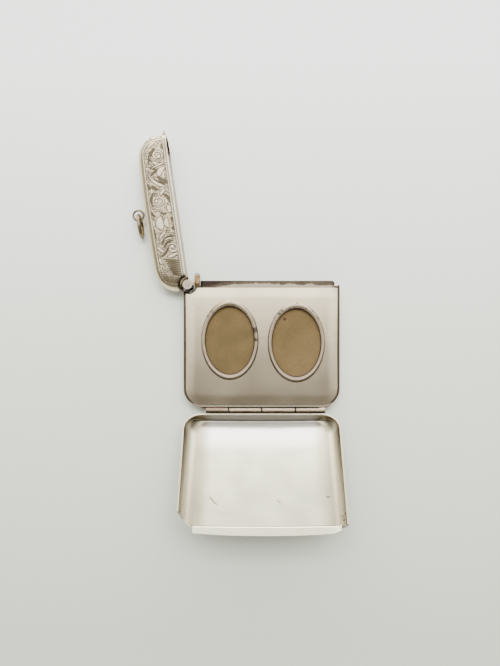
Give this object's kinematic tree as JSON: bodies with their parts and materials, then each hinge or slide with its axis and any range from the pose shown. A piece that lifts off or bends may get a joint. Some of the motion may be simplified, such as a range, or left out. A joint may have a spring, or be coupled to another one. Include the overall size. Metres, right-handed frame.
{
  "type": "vesta case",
  "caption": "Rounded rectangular silver pocket match case, lid hinged at one side, front cover folding down over oval picture frames, spring, loop and jump ring.",
  "frame": {"origin": "middle of the body's flat back, on its outside", "axes": "+X along the width, from the lid's hinge side to the other side; +Y from the base to the mouth; +Z out of the back towards the picture frames, with the case lying open on its back"},
  "size_m": [0.0614, 0.114, 0.0313],
  "materials": {
    "polished_silver": "polished silver with fine wear",
    "satin_silver": "satin silver, lightly toned",
    "engraved_silver": "silver with engraved foliate scrolls and warm toning",
    "tarnished_silver": "darkly tarnished silver",
    "brass": "dull brass",
    "brown_card": "matt brown card"
  },
  "bodies": {
    "case": {"back_shell": "engraved_silver", "picture_plate": "satin_silver", "backing_plate": "satin_silver", "left_card": "brown_card", "right_card": "brown_card", "left_bezel": "polished_silver", "right_bezel": "polished_silver", "mouth_collar": "tarnished_silver", "striker_plate": "satin_silver", "cover_hinge_bearer": "polished_silver", "body_knuckle_left": "polished_silver", "body_knuckle_right": "polished_silver", "cover_hinge_pin": "satin_silver", "lid_front_knuckle": "polished_silver", "lid_back_knuckle": "polished_silver", "lid_hinge_pin": "satin_silver", "lid_spring": "brass", "spring_rivet_upper": "polished_silver", "spring_rivet_lower": "polished_silver"},
    "front_cover": {"front_cover": "polished_silver", "cover_lip": "polished_silver", "cover_knuckle_left": "polished_silver", "cover_knuckle_right": "polished_silver"},
    "lid": {"lid_shell": "engraved_silver", "lid_middle_knuckle": "polished_silver", "thumb_lip": "polished_silver", "loop_base": "polished_silver", "ring_loop": "polished_silver"},
    "jump_ring": {"jump_ring": "satin_silver"}
  },
  "joints": [
    {"name": "lid_hinge", "type": "hinge", "parent": "case", "child": "lid", "pos_m": [-0.0217, 0.01795, 0.0052], "axis": [0, 0, 1], "range_deg": [-98.3, 0]},
    {"name": "cover_hinge", "type": "hinge", "parent": "case", "child": "front_cover", "pos_m": [0, -0.01905, 0.007], "axis": [1, 0, 0], "range_deg": [-139, 0]},
    {"name": "ring_swing", "type": "hinge", "parent": "lid", "child": "jump_ring", "pos_m": [-0.03658, 0.03862, 0.00515], "axis": [0, 0, 1], "range_deg": [-180, 0]}
  ]
}
